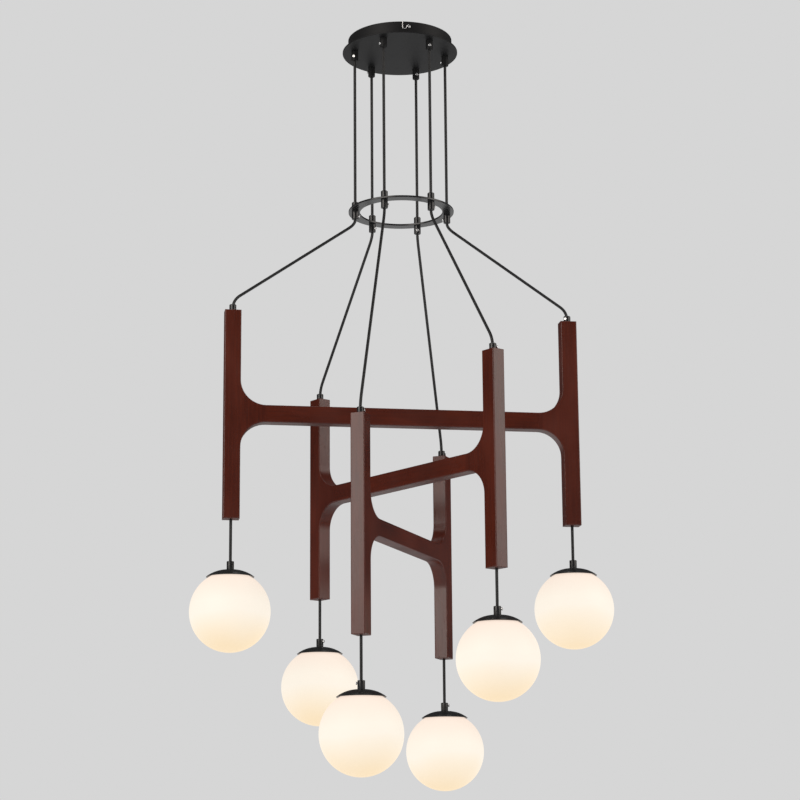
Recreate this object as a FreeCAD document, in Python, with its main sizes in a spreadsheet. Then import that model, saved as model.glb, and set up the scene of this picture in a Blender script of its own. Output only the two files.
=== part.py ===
import FreeCAD, Part
import math
import operator
import os
import types

import Sketcher

# Orb chandelier: a round ceiling canopy, six cables that a ring spreads apart, three wooden
# H frames that cross on one axis, and a glass globe lamp under each of the six posts.
#
# Frame: +Z up, origin at the centre of the canopy's top edge, on the ceiling. The upper frame
# lies along X. Posts, cables and lamps are numbered 1 to 6 at 0, 60, 120, 180, 240 and 300
# degrees about Z. All lengths are in millimetres, all angles in degrees.

SIZES = {
    # Canopy: a drum against the ceiling, closed below by a wider disc.
    "canopy_height": 27.0,
    "drum_radius": 102.0,
    "drum_wall": 1.5,
    "flange_reach": 7.0,
    "disc_reach": 11.0,
    "disc_thick": 2.5,
    "disc_edge": 0.6,
    # Ceiling bracket, its two side screws and the wire hook under one of them.
    "bracket_width": 24.0,
    "bracket_plate": 2.0,
    "bracket_drop": 16.0,
    "bracket_gap": 0.4,
    "slot_spacing": 90.0,
    "slot_length": 16.0,
    "slot_radius": 2.5,
    "side_level": 10.0,
    "side_shank": 1.9,
    "side_head": 2.8,
    "side_head_height": 2.0,
    "side_length": 9.0,
    "hook_wire": 0.9,
    "hook_eye": 3.3,
    "hook_reach": 11.4,
    "hook_rise": 9.4,
    "hook_dip": 1.0,
    # Terminal block under the bracket.
    "block_length": 42.0,
    "block_width": 18.0,
    "block_height": 12.0,
    "block_pitch": 12.0,
    "block_wire": 2.2,
    "block_well": 1.8,
    "block_row": 5.0,
    # Cable and the clearances round it.
    "cable_radius": 2.75,
    "cable_inset": 12.0,
    "cable_clear": 0.15,
    "cable_tail": 12.0,
    "mouth_run": 9.0,
    "pivot_gap": 0.3,
    "thread_clear": 0.1,
    "hole_clear": 0.2,
    # Cord-grip sleeves and their nuts.
    "stem_radius": 4.4,
    "stem_over": 1.5,
    "sleeve_chamfer": 1.0,
    "gland_radius": 6.8,
    "gland_length": 20.0,
    "nut_flats": 13.0,
    "nut_height": 4.0,
    "ring_sleeve_radius": 6.6,
    "ring_sleeve_above": 14.0,
    "ring_sleeve_below": 17.0,
    "ring_stem_rise": 6.0,
    "thread_end": 0.5,
    # Set screws that clamp the cable in each sleeve.
    "set_shank": 1.6,
    "set_head": 2.8,
    "set_head_height": 2.2,
    "set_bevel": 0.5,
    "set_socket": 1.2,
    "set_tip_gap": 0.1,
    "gland_screw_rise": 8.5,
    "ring_screw_rise": 6.8,
    # Spreader ring.
    "ring_drop": 328.0,
    "ring_outside": 12.0,
    "ring_inside": 10.0,
    "ring_thick": 3.5,
    "ring_edge": 0.5,
    # Wooden H frames.
    "upper_span": 650.0,
    "middle_span": 520.0,
    "lower_span": 434.0,
    "frame_drop": 208.3,
    "frame_step": 117.3,
    "post_height": 400.0,
    "post_width": 31.0,
    "frame_thick": 27.0,
    "beam_height": 33.0,
    "beam_depth": 200.0,
    "inner_fillet": 48.0,
    "wood_round": 1.6,
    "post_bore": 3.4,
    "post_gland_height": 12.5,
    "post_gland_stem": 10.0,
    "post_screw_rise": 6.0,
    # Lamps: each drop is the bare cord from the post's end to the cord grip.
    "drop_1": 66.0,
    "drop_2": 85.0,
    "drop_3": 77.0,
    "drop_4": 79.0,
    "drop_5": 80.0,
    "drop_6": 68.0,
    "grip_radius": 6.8,
    "grip_height": 16.0,
    "grip_screw_rise": 11.0,
    "cap_radius": 44.5,
    "cap_rise": 13.5,
    "cap_land": 7.5,
    "cap_curve": 62.0,
    "cap_wall": 1.5,
    "cap_lip": 2.0,
    "cap_lap": 11.0,
    "globe_radius": 75.0,
    "globe_wall": 2.2,
    "globe_cut": 5.0,
    "neck_radius": 20.0,
    "neck_wall": 3.0,
    "neck_depth": 10.0,
    # Lamp holder and bulb.
    "holder_stem": 4.9,
    "holder_stem_rise": 7.0,
    "holder_bore": 1.6,
    "holder_seat": 7.0,
    "holder_flange": 24.0,
    "holder_flange_thick": 2.2,
    "holder_collar_wall": 2.0,
    "holder_body": 10.5,
    "holder_length": 20.3,
    "globe_clear": 0.3,
    "socket_radius": 1.2,
    "socket_depth": 12.0,
    "pin_spacing": 9.0,
    "pin_radius": 0.9,
    "pin_length": 10.0,
    "bulb_base": 7.5,
    "bulb_base_height": 12.0,
    "bulb_radius": 8.0,
    "bulb_length": 34.0,
}

POSTS = 6
POST_STEP = 360 / POSTS
FRAMES = (("upper", 0, (1, 4)), ("lower", 60, (2, 5)), ("middle", 120, (3, 6)))

# The way each set screw faces about Z, for posts 1 to 6, as they are set in the photographed lamp.
CANOPY_FACING = (171, -86, 175, -112, -164, -94)
RING_FACING = (171, -99, -49, -12, -9, -9)
POST_FACING = (-130, -9, 60, 81, -9, -9)
GRIP_FACING = (80, -9, -35, 80, 171, -20)

OPERATIONS = {"+": operator.add, "-": operator.sub, "*": operator.mul, "/": operator.truediv}


class Size:
    """A number together with the sheet expression that gives it."""

    def __init__(self, text, value):
        self.text = text
        self.value = value

    def __add__(self, other):
        return combined(self, "+", other)

    def __radd__(self, other):
        return combined(other, "+", self)

    def __sub__(self, other):
        return combined(self, "-", other)

    def __rsub__(self, other):
        return combined(other, "-", self)

    def __mul__(self, other):
        return combined(self, "*", other)

    def __truediv__(self, other):
        return combined(self, "/", other)

    def __neg__(self):
        return combined(0, "-", self)


def as_size(thing):
    """The thing itself, or a plain number as a Size."""
    return thing if isinstance(thing, Size) else Size(str(float(thing)), float(thing))


def combined(left, sign, right):
    """Two sizes joined by one arithmetic sign."""
    left = as_size(left)
    right = as_size(right)
    value = OPERATIONS[sign](left.value, right.value)
    return Size(f"({left.text} {sign} {right.text})", value)


def root(size):
    """The square root of a size."""
    return Size(f"sqrt({size.text})", math.sqrt(size.value))


doc = FreeCAD.newDocument("OrbChandelier")
sheet = doc.addObject("Spreadsheet::Sheet", "Sizes")
for line, (alias, number) in enumerate(SIZES.items(), start=1):
    sheet.set(f"A{line}", alias)
    sheet.set(f"B{line}", str(number))
    sheet.setAlias(f"B{line}", alias)
doc.recompute()
of = types.SimpleNamespace(**{alias: Size(f"Sizes.{alias}", number) for alias, number in SIZES.items()})

# Levels and radii that several pieces share.
disc_bottom = -of.canopy_height
disc_top = disc_bottom + of.disc_thick
drum_inner = of.drum_radius - of.drum_wall
drum_flange = of.drum_radius + of.flange_reach
disc_radius = of.drum_radius + of.disc_reach
cable_circle = of.drum_radius - of.cable_inset
ring_outer = cable_circle + of.ring_outside
ring_inner = cable_circle - of.ring_inside
cable_bore = of.cable_radius + of.cable_clear
stem_bore = of.stem_radius + of.thread_clear
gland_mouth = disc_bottom - of.gland_length
ring_bottom = disc_bottom - of.ring_drop
ring_top = ring_bottom + of.ring_thick
ring_mouth = ring_bottom - of.ring_sleeve_below
frame_tops = {
    "upper": ring_bottom - of.frame_drop,
    "middle": ring_bottom - of.frame_drop - of.frame_step,
    "lower": ring_bottom - of.frame_drop - of.frame_step - of.frame_step,
}
post_radii = {name: getattr(of, f"{name}_span") / 2 for name, azimuth, posts in FRAMES}
globe_top = of.globe_radius - of.globe_cut
cap_rim = of.globe_radius - of.cap_lap
cap_top = cap_rim + of.cap_rise
cap_inner_top = cap_top - of.cap_wall
grip_top = cap_top + of.grip_height
holder_top = cap_top + of.holder_stem_rise
holder_web_top = globe_top + of.globe_clear + of.holder_flange_thick
holder_web = globe_top + of.globe_clear
holder_bottom = holder_web - of.holder_length


# ---------------------------------------------------------------- document helpers

def vector(x=0.0, y=0.0, z=0.0):
    return FreeCAD.Vector(x, y, z)


def turned(azimuth):
    return FreeCAD.Rotation(vector(z=1), azimuth)


def around(radius, azimuth, level):
    """The point at a radius, azimuth and level."""
    angle = math.radians(azimuth)
    return vector(radius.value * math.cos(angle), radius.value * math.sin(angle), level.value)


def facing(azimuth):
    """A rotation that turns local +Z to the horizontal direction of an azimuth."""
    return FreeCAD.Rotation(vector(z=1), around(as_size(1), azimuth, as_size(0)))


def new_body(label, place=None):
    body = doc.addObject("PartDesign::Body", label)
    body.Label = label
    if place is not None:
        body.Placement = place
    return body


def origin_feature(body, role):
    return next(item for item in body.Origin.OriginFeatures if item.Role == role)


def new_sketch(body, plane, level=None):
    """A sketch on one of the body's origin planes, or at a level off it."""
    sketch = body.newObject("Sketcher::SketchObject", f"{body.Name}_sketch")
    sketch.AttachmentSupport = [(origin_feature(body, plane), "")]
    sketch.MapMode = "FlatFace"
    if level is not None:
        sketch.setExpression("AttachmentOffset.Base.z", level.text)
    return sketch


def bind(sketch, constraint, size):
    """Add a constraint whose value follows the sheet."""
    index = sketch.addConstraint(constraint)
    sketch.setExpression(f"Constraints[{index}]", size.text)


def pin(sketch, shape, point, x, y):
    """Fix a point of a sketch shape at x, y from the sketch's origin."""
    for kind, size, axis in (("DistanceX", x, -2), ("DistanceY", y, -1)):
        size = as_size(size)
        if size.value == 0:
            sketch.addConstraint(Sketcher.Constraint("PointOnObject", shape, point, axis))
        else:
            bind(sketch, Sketcher.Constraint(kind, -1, 1, shape, point, size.value), size)


def arc_through(start, end, radius, left):
    """The arc from start to end whose centre lies to the left or right of that way."""
    chord = end.sub(start)
    middle = start.add(end).multiply(0.5)
    rise = math.sqrt(max(radius ** 2 - (chord.Length / 2) ** 2, 0.0))
    across = vector(-chord.y, chord.x).normalize().multiply(rise if left else -rise)
    centre = middle.add(across)
    ends = (start, end) if left else (end, start)
    angles = [math.atan2(point.y - centre.y, point.x - centre.x) for point in ends]
    circle = Part.Circle(centre, vector(z=1), radius)
    return Part.ArcOfCircle(circle, angles[0], angles[1])


def draw_outline(sketch, corners, arcs=None):
    """A closed outline through the corners. Side n starts at corner n, and arcs gives the radius
    of each round side and whether its centre lies to the left of it. A half circle runs between
    corners of one level, and its centre is held there."""
    arcs = arcs or {}
    corners = [(as_size(x), as_size(y)) for x, y in corners]
    points = [vector(x.value, y.value) for x, y in corners]
    first = sketch.GeometryCount
    starts = []
    ends = []
    for side, start in enumerate(points):
        end = points[(side + 1) % len(points)]
        if side in arcs:
            radius, left = arcs[side]
            sketch.addGeometry(arc_through(start, end, radius.value, left), False)
            starts.append(1 if left else 2)
            ends.append(2 if left else 1)
        else:
            sketch.addGeometry(Part.LineSegment(start, end), False)
            starts.append(1)
            ends.append(2)
    for side, (x, y) in enumerate(corners):
        before = (side - 1) % len(corners)
        shape = first + side
        sketch.addConstraint(
            Sketcher.Constraint("Coincident", first + before, ends[before], shape, starts[side]))
        pin(sketch, shape, starts[side], x, y)
    for side, (radius, left) in arcs.items():
        level = corners[side][1]
        if abs(points[side].distanceToPoint(points[side - len(points) + 1]) / 2 - radius.value) < 1e-9:
            bind(sketch, Sketcher.Constraint("DistanceY", -1, 1, first + side, 3, level.value), level)
        else:
            bind(sketch, Sketcher.Constraint("Radius", first + side, radius.value), radius)


def draw_circle(sketch, x, y, radius):
    x = as_size(x)
    y = as_size(y)
    circle = Part.Circle(vector(x.value, y.value), vector(z=1), radius.value)
    shape = sketch.addGeometry(circle, False)
    pin(sketch, shape, 3, x, y)
    bind(sketch, Sketcher.Constraint("Radius", shape, radius.value), radius)


def revolve(body, corners, arcs=None, axis_at=None):
    """Turn an outline of the XZ plane a full turn, about Z or about an upright line beside it."""
    sketch = new_sketch(body, "XZ_Plane")
    axis = "V_Axis"
    if axis_at is not None:
        corners = [(axis_at + x, y) for x, y in corners]
    draw_outline(sketch, corners, arcs)
    if axis_at is not None:
        low = as_size(corners[0][1])
        line = Part.LineSegment(vector(axis_at.value, low.value - 1), vector(axis_at.value, low.value))
        shape = sketch.addGeometry(line, True)
        pin(sketch, shape, 2, axis_at, low)
        pin(sketch, shape, 1, axis_at, low - 1)
        axis = "Axis0"
    feature = body.newObject("PartDesign::Revolution", f"{body.Name}_revolution")
    feature.Profile = sketch
    feature.ReferenceAxis = (sketch, [axis])
    feature.Angle = 360
    return feature


def pad(body, sketch, length, symmetric=False):
    feature = body.newObject("PartDesign::Pad", f"{body.Name}_pad")
    feature.Profile = sketch
    feature.SideType = "Symmetric" if symmetric else "One side"
    feature.setExpression("Length", length.text)
    return feature


def pocket(body, sketch, depth=None, upward=False):
    """Cut a sketch to a depth from its plane, or right through both ways."""
    feature = body.newObject("PartDesign::Pocket", f"{body.Name}_pocket")
    feature.Profile = sketch
    if depth is None:
        feature.SideType = "Symmetric"
        feature.Type = "ThroughAll"
    else:
        feature.Reversed = upward
        feature.setExpression("Length", depth.text)
    return feature


def repeat_round(body, features, count):
    """Repeat features evenly about the body's Z axis."""
    pattern = body.newObject("PartDesign::PolarPattern", f"{body.Name}_pattern")
    pattern.Originals = features
    pattern.Axis = (origin_feature(body, "Z_Axis"), [""])
    pattern.Angle = 360
    pattern.Occurrences = count
    body.Tip = pattern
    return pattern


def gathered(label, members):
    """One sub-part made of several separate solids."""
    group = doc.addObject("Part::Compound", label)
    group.Label = label
    group.Links = members
    return group


def tube(path, radii, radius):
    """A round tube along straight runs joined by tangent arcs, one radius for each inner point."""
    edges = []
    start = path[0]
    for before, corner, after, bend in zip(path, path[1:], path[2:], radii):
        back = before.sub(corner).normalize()
        ahead = after.sub(corner).normalize()
        half_turn = (math.pi - back.getAngle(ahead)) / 2
        reach = bend * math.tan(half_turn)
        enter = corner.add(vector(*back).multiply(reach))
        leave = corner.add(vector(*ahead).multiply(reach))
        inward = vector(*back).add(ahead).normalize()
        middle = corner.add(inward.multiply(bend / math.cos(half_turn) - bend))
        if start.distanceToPoint(enter) > 1e-6:
            edges.append(Part.LineSegment(start, enter).toShape())
        edges.append(Part.Arc(enter, middle, leave).toShape())
        start = leave
    if start.distanceToPoint(path[-1]) > 1e-6:
        edges.append(Part.LineSegment(start, path[-1]).toShape())
    line = Part.Wire(edges)
    section = Part.Circle(path[0], path[1].sub(path[0]), radius).toShape()
    shape = line.makePipeShell([Part.Wire(section)], True, False)
    expected = math.pi * radius ** 2 * line.Length
    print(f"tube {line.Length:.2f} long, radii {[round(bend, 1) for bend in radii]},"
          f" volume {shape.Volume / expected:.5f} of section times length")
    return shape


def round_edges(body, base, size, chosen):
    """Round the edges of the base that the test picks."""
    doc.recompute()
    names = [f"Edge{n}" for n, edge in enumerate(base.Shape.Edges, start=1) if chosen(edge)]
    feature = body.newObject("PartDesign::Fillet", f"{body.Name}_fillet")
    feature.Base = (base, names)
    feature.setExpression("Radius", size.text)
    return feature


# ---------------------------------------------------------------- set screws

def set_screw(label, sleeve_radius, centre, azimuth):
    """A socket set screw whose head stands on a sleeve and whose tip stops at the cable."""
    outward = around(sleeve_radius, azimuth, as_size(0))
    body = new_body(label, FreeCAD.Placement(centre.add(outward), facing(azimuth)))
    tip = of.cable_radius + of.set_tip_gap - sleeve_radius
    head = of.set_head_height
    revolve(body, [
        (0, tip),
        (of.set_shank, tip),
        (of.set_shank, 0),
        (of.set_head, 0),
        (of.set_head, head - of.set_bevel),
        (of.set_head - of.set_bevel, head),
        (of.set_socket, head),
        (of.set_socket, head - of.set_socket),
        (0, head - of.set_socket),
    ])
    return body


def drilled(label, blank, sleeve_radius, seats):
    """The sleeves with one cross hole at each seat of a set screw."""
    drills = []
    for centre, azimuth in seats:
        drill = doc.addObject("Part::Cylinder", f"{label}_drill")
        drill.setExpression("Radius", (of.set_shank + of.thread_clear).text)
        drill.setExpression("Height", (sleeve_radius * 2).text)
        drill.Placement = FreeCAD.Placement(centre, facing(azimuth))
        drills.append(drill)
    cut = doc.addObject("Part::Cut", label)
    cut.Base = blank
    cut.Tool = gathered(f"{label}_drills", drills)
    cut.Label = label
    return cut


def screws_at(label, sleeve_radius, seats):
    return [set_screw(f"{label}_{n}", sleeve_radius, centre, azimuth)
            for n, (centre, azimuth) in enumerate(seats, start=1)]


# ---------------------------------------------------------------- canopy at the ceiling

def ceiling_bracket():
    """A U-shaped bar along Y, slotted for two ceiling screws, whose tabs take the side screws."""
    body = new_body("ceiling_bracket")
    half = of.bracket_width / 2
    out = root(drum_inner * drum_inner - half * half) - of.bracket_gap
    inside = out - of.bracket_plate
    sketch = new_sketch(body, "YZ_Plane")
    draw_outline(sketch, [
        (-out, 0),
        (-out, -of.bracket_drop),
        (-inside, -of.bracket_drop),
        (-inside, -of.bracket_plate),
        (inside, -of.bracket_plate),
        (inside, -of.bracket_drop),
        (out, -of.bracket_drop),
        (out, 0),
    ])
    pad(body, sketch, of.bracket_width, symmetric=True)
    slots = new_sketch(body, "XY_Plane")
    straight = of.slot_length / 2 - of.slot_radius
    for centre in (of.slot_spacing / 2, -of.slot_spacing / 2):
        draw_outline(slots, [
            (of.slot_radius, centre - straight),
            (of.slot_radius, centre + straight),
            (-of.slot_radius, centre + straight),
            (-of.slot_radius, centre - straight),
        ], {1: (of.slot_radius, True), 3: (of.slot_radius, True)})
    pocket(body, slots)
    taps = new_sketch(body, "XZ_Plane")
    draw_circle(taps, 0, -of.side_level, of.side_shank + of.thread_clear)
    pocket(body, taps)
    return body


def canopy_drum():
    """The upright wall of the canopy, flanged outwards at its foot."""
    body = new_body("canopy_drum")
    revolve(body, [
        (drum_inner, 0),
        (drum_inner, disc_top),
        (drum_flange, disc_top),
        (drum_flange, disc_top + of.drum_wall),
        (of.drum_radius, disc_top + of.drum_wall),
        (of.drum_radius, 0),
    ])
    holes = new_sketch(body, "XZ_Plane")
    draw_circle(holes, 0, -of.side_level, of.side_shank + of.hole_clear)
    pocket(body, holes)
    return body


def canopy_disc():
    """The bottom plate of the canopy, drilled for the six glands."""
    body = new_body("canopy_disc")
    revolve(body, [
        (0, disc_bottom),
        (disc_radius - of.disc_edge, disc_bottom),
        (disc_radius, disc_bottom + of.disc_edge),
        (disc_radius, disc_top),
        (0, disc_top),
    ])
    drill_round(body)
    return body


def drill_round(body):
    """Six stem holes on the cable circle."""
    sketch = new_sketch(body, "XY_Plane")
    draw_circle(sketch, cable_circle, 0, of.stem_radius + of.hole_clear)
    repeat_round(body, [pocket(body, sketch)], POSTS)


def side_screw(label, seat, azimuth):
    """One of the two screws that hold the canopy to its bracket."""
    place = FreeCAD.Placement(around(seat, azimuth, -of.side_level), facing(azimuth))
    body = new_body(label, place)
    dome = of.side_head_height / 2
    revolve(body, [
        (0, -of.side_length),
        (of.side_shank, -of.side_length),
        (of.side_shank, 0),
        (of.side_head, 0),
        (of.side_head, dome),
        (of.side_head - dome, of.side_head_height),
        (0, of.side_head_height),
    ], {4: (dome, True)})
    return body


def canopy_side_screws():
    """Both side screws; the one at the front also holds the hook's eye."""
    hook_seat = of.drum_radius + of.hook_wire * 2 + of.hole_clear + of.thread_clear
    rear = side_screw("side_screw_rear", of.drum_radius + of.thread_clear, 90)
    front = side_screw("side_screw_front", hook_seat, -90)
    return gathered("canopy_side_screws", [rear, front])


def canopy_wire_hook():
    """A bent wire: an open eye round the front side screw, and a J that rises beside it."""
    eye = of.hook_eye.value
    reach = of.hook_reach.value
    level = -of.side_level.value
    dip = of.hook_dip.value
    bend = (reach - eye) / 2
    depth = -(of.drum_radius + of.hook_wire + of.hole_clear).value
    corners = [
        (-reach, level + of.hook_rise.value),
        (-reach, level - dip - bend),
        (-eye, level - dip - bend),
        (-eye, level + eye),
        (eye, level + eye),
        (eye, level - eye),
        (0, level - eye),
    ]
    path = [vector(x, depth, z) for x, z in corners]
    hook = doc.addObject("Part::Feature", "canopy_wire_hook")
    hook.Label = "canopy_wire_hook"
    hook.Shape = tube(path, [bend, bend, eye, eye, eye], of.hook_wire.value)
    return hook


def terminal_block():
    """A three-pole block with a wire hole through each pole and two screw wells below it."""
    body = new_body("terminal_block")
    top = -of.bracket_plate
    bottom = top - of.block_height
    outline = new_sketch(body, "YZ_Plane")
    draw_outline(outline, [
        (-of.block_length / 2, top),
        (-of.block_length / 2, bottom),
        (of.block_length / 2, bottom),
        (of.block_length / 2, top),
    ])
    pad(body, outline, of.block_width, symmetric=True)
    wires = new_sketch(body, "YZ_Plane")
    for pole in (-1, 0, 1):
        draw_circle(wires, of.block_pitch * pole, (top + bottom) / 2, of.block_wire)
    pocket(body, wires)
    return terminal_wells(body, bottom)


def terminal_wells(block, bottom):
    """The block with its screw wells bored up to the wire holes."""
    wells = []
    for pole in (-1, 0, 1):
        for row in (-1, 1):
            well = doc.addObject("Part::Cylinder", "terminal_well")
            well.setExpression("Radius", of.block_well.text)
            well.setExpression("Height", (of.block_height / 2).text)
            well.Placement.Base = vector(
                (of.block_row * row).value, (of.block_pitch * pole).value, bottom.value)
            wells.append(well)
    block.Label = "terminal_block_blank"
    cut = doc.addObject("Part::Cut", "terminal_block_cut")
    cut.Base = block
    cut.Tool = gathered("terminal_wells", wells)
    cut.Label = "terminal_block"
    return cut


def canopy_glands():
    """Six cord-grip sleeves below the disc, whose threaded stems pass through it."""
    blank = new_body("canopy_gland_blanks")
    stem_end = disc_top + of.nut_height + of.stem_over
    profile = revolve(blank, [
        (cable_bore, gland_mouth),
        (of.gland_radius - of.sleeve_chamfer, gland_mouth),
        (of.gland_radius, gland_mouth + of.sleeve_chamfer),
        (of.gland_radius, disc_bottom),
        (of.stem_radius, disc_bottom),
        (of.stem_radius, stem_end),
        (cable_bore, stem_end),
    ], axis_at=cable_circle)
    repeat_round(blank, [profile], POSTS)
    return drilled("canopy_glands", blank, of.gland_radius, canopy_seats())


def canopy_seats():
    level = gland_mouth + of.gland_screw_rise
    return [(around(cable_circle, n * POST_STEP, level), azimuth)
            for n, azimuth in enumerate(CANOPY_FACING)]


def ring_seats():
    level = ring_mouth + of.ring_screw_rise
    return [(around(cable_circle, n * POST_STEP, level), azimuth)
            for n, azimuth in enumerate(RING_FACING)]


def gland_nuts():
    """Six hexagon nuts that pull the glands against the disc."""
    body = new_body("gland_nuts")
    body.Placement.Base = vector(z=disc_top.value)
    sketch = new_sketch(body, "XY_Plane")
    flat = of.nut_flats / 2
    tip = of.nut_flats / root(as_size(3))
    middle = cable_circle
    draw_outline(sketch, [
        (middle + tip, 0),
        (middle + tip / 2, flat),
        (middle - tip / 2, flat),
        (middle - tip, 0),
        (middle - tip / 2, -flat),
        (middle + tip / 2, -flat),
    ])
    draw_circle(sketch, middle, 0, stem_bore)
    repeat_round(body, [pad(body, sketch, of.nut_height)], POSTS)
    return body


def sleeve_set_screws():
    """The twelve set screws of the canopy glands and of the ring's lower sleeves."""
    upper = screws_at("gland_screw", of.gland_radius, canopy_seats())
    lower = screws_at("ring_screw", of.ring_sleeve_radius, ring_seats())
    return gathered("sleeve_set_screws", upper + lower)


# ---------------------------------------------------------------- spreader ring

def spreader_ring():
    """The flat ring that spreads the cables, drilled for the six sleeve stems."""
    body = new_body("spreader_ring")
    edge = of.ring_edge
    revolve(body, [
        (ring_inner + edge, ring_bottom),
        (ring_outer - edge, ring_bottom),
        (ring_outer, ring_bottom + edge),
        (ring_outer, ring_top - edge),
        (ring_outer - edge, ring_top),
        (ring_inner + edge, ring_top),
        (ring_inner, ring_top - edge),
        (ring_inner, ring_bottom + edge),
    ])
    drill_round(body)
    return body


def ring_clamp_sleeves():
    """Six sleeves in two halves: the lower one's stem screws through the ring into the upper."""
    blank = new_body("ring_sleeve_blanks")
    stem_end = ring_top + of.ring_stem_rise
    socket_end = stem_end + of.thread_end
    sleeve_top = ring_top + of.ring_sleeve_above
    upper = revolve(blank, [
        (stem_bore, ring_top),
        (of.ring_sleeve_radius, ring_top),
        (of.ring_sleeve_radius, sleeve_top - of.sleeve_chamfer),
        (of.ring_sleeve_radius - of.sleeve_chamfer, sleeve_top),
        (cable_bore, sleeve_top),
        (cable_bore, socket_end),
        (stem_bore, socket_end),
    ], axis_at=cable_circle)
    lower = revolve(blank, [
        (cable_bore, ring_mouth),
        (of.ring_sleeve_radius - of.sleeve_chamfer, ring_mouth),
        (of.ring_sleeve_radius, ring_mouth + of.sleeve_chamfer),
        (of.ring_sleeve_radius, ring_bottom),
        (of.stem_radius, ring_bottom),
        (of.stem_radius, stem_end),
        (cable_bore, stem_end),
    ], axis_at=cable_circle)
    repeat_round(blank, [upper, lower], POSTS)
    return drilled("ring_clamp_sleeves", blank, of.ring_sleeve_radius, ring_seats())


def canopy_cables():
    """Six straight cables from inside the canopy to the lower sleeves' mouths."""
    body = new_body("canopy_cables")
    body.Placement.Base = vector(z=ring_mouth.value)
    sketch = new_sketch(body, "XY_Plane")
    draw_circle(sketch, cable_circle, 0, of.cable_radius)
    length = -of.cable_tail - ring_mouth
    repeat_round(body, [pad(body, sketch, length)], POSTS)
    return body


# ---------------------------------------------------------------- wooden frames

def wood_frame(name, azimuth):
    """An H of two posts and a beam, bored down both posts, with large inner fillets."""
    place = FreeCAD.Placement(vector(z=frame_tops[name].value), turned(azimuth))
    body = new_body(f"{name}_frame", place)
    outer = post_radii[name] + of.post_width / 2
    inner = post_radii[name] - of.post_width / 2
    round_end = inner - of.inner_fillet
    high = of.beam_height / 2 - of.beam_depth
    low = -of.beam_height / 2 - of.beam_depth
    foot = -of.post_height
    sketch = new_sketch(body, "XZ_Plane")
    draw_outline(sketch, [
        (-outer, 0),
        (-outer, foot),
        (-inner, foot),
        (-inner, low - of.inner_fillet),
        (-round_end, low),
        (round_end, low),
        (inner, low - of.inner_fillet),
        (inner, foot),
        (outer, foot),
        (outer, 0),
        (inner, 0),
        (inner, high + of.inner_fillet),
        (round_end, high),
        (-round_end, high),
        (-inner, high + of.inner_fillet),
        (-inner, 0),
    ], {side: (of.inner_fillet, False) for side in (3, 5, 11, 13)})
    blank = pad(body, sketch, of.frame_thick, symmetric=True)
    face = of.frame_thick.value / 2

    def on_a_face(edge):
        box = edge.BoundBox
        return box.YLength < 1e-6 and abs(abs(box.YMin) - face) < 1e-6

    round_edges(body, blank, of.wood_round, on_a_face)
    counterbores = new_sketch(body, "XY_Plane")
    bores = new_sketch(body, "XY_Plane")
    for side in (-1, 1):
        at = post_radii[name] * side
        draw_circle(counterbores, at, 0, of.stem_radius + of.hole_clear)
        draw_circle(bores, at, 0, of.post_bore)
    pocket(body, counterbores, of.post_gland_stem + of.thread_end)
    pocket(body, bores, of.post_height + of.thread_end)
    return body


def post_seats(name, azimuth, posts):
    level = frame_tops[name] + of.post_screw_rise
    return [(around(post_radii[name], azimuth + half, level), POST_FACING[post - 1])
            for half, post in zip((0, 180), posts)]


def post_glands(name, azimuth, posts):
    """The cord grips that stand on the two post tops."""
    place = FreeCAD.Placement(vector(z=frame_tops[name].value), turned(azimuth))
    blank = new_body(f"{name}_gland_blanks", place)
    top = of.post_gland_height
    profile = revolve(blank, [
        (cable_bore, -of.post_gland_stem),
        (of.stem_radius, -of.post_gland_stem),
        (of.stem_radius, 0),
        (of.ring_sleeve_radius, 0),
        (of.ring_sleeve_radius, top - of.sleeve_chamfer),
        (of.ring_sleeve_radius - of.sleeve_chamfer, top),
        (cable_bore, top),
    ], axis_at=post_radii[name])
    repeat_round(blank, [profile], 2)
    seats = post_seats(name, azimuth, posts)
    return drilled(f"{name}_post_glands", blank, of.ring_sleeve_radius, seats)


def post_gland_screws(name, azimuth, posts):
    seats = post_seats(name, azimuth, posts)
    screws = screws_at(f"{name}_post_screw", of.ring_sleeve_radius, seats)
    return gathered(f"{name}_gland_screws", screws)


def lower_cables(name, azimuth):
    """Two taut cables from the ring's mouths to the post tops, and on down the posts' bores."""
    sway_axis = ring_mouth - of.pivot_gap
    foot = frame_tops[name] - of.post_height + of.cable_radius + of.pivot_gap
    gland_top = frame_tops[name] + of.post_gland_height
    route = [
        (cable_circle, sway_axis),
        (cable_circle, sway_axis - of.mouth_run),
        (post_radii[name], gland_top + of.mouth_run),
        (post_radii[name], foot),
    ]
    spread = (post_radii[name] - cable_circle).value
    fall = (sway_axis - gland_top).value - 2 * of.mouth_run.value
    half_turn = math.atan2(spread, fall) / 2
    bend = 0.92 * of.mouth_run.value / math.tan(half_turn)
    cables = []
    for half in (0, 180):
        path = [around(radius, azimuth + half, level) for radius, level in route]
        cables.append(tube(path, [bend, bend], of.cable_radius.value))
    pair = doc.addObject("Part::Feature", f"{name}_cables")
    pair.Label = f"{name}_cables"
    pair.Shape = Part.makeCompound(cables)
    return pair


# ---------------------------------------------------------------- lamps

def lamp_place(name, azimuth, post):
    """The placement of a lamp, at its globe's centre."""
    drop = getattr(of, f"drop_{post}")
    level = frame_tops[name] - of.post_height - drop - grip_top
    return FreeCAD.Placement(around(post_radii[name], azimuth, level), turned(azimuth))


def drop_cord(post, place):
    """The short cord from the post's end into the cord grip, round-ended where it swings."""
    body = new_body(f"drop_cord_{post}", place)
    pivot = grip_top + getattr(of, f"drop_{post}")
    foot = holder_top + of.thread_end + of.thread_end
    revolve(body, [
        (0, foot),
        (of.cable_radius, foot),
        (of.cable_radius, pivot),
        (0, pivot + of.cable_radius),
    ], {2: (of.cable_radius, True)})
    return body


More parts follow.
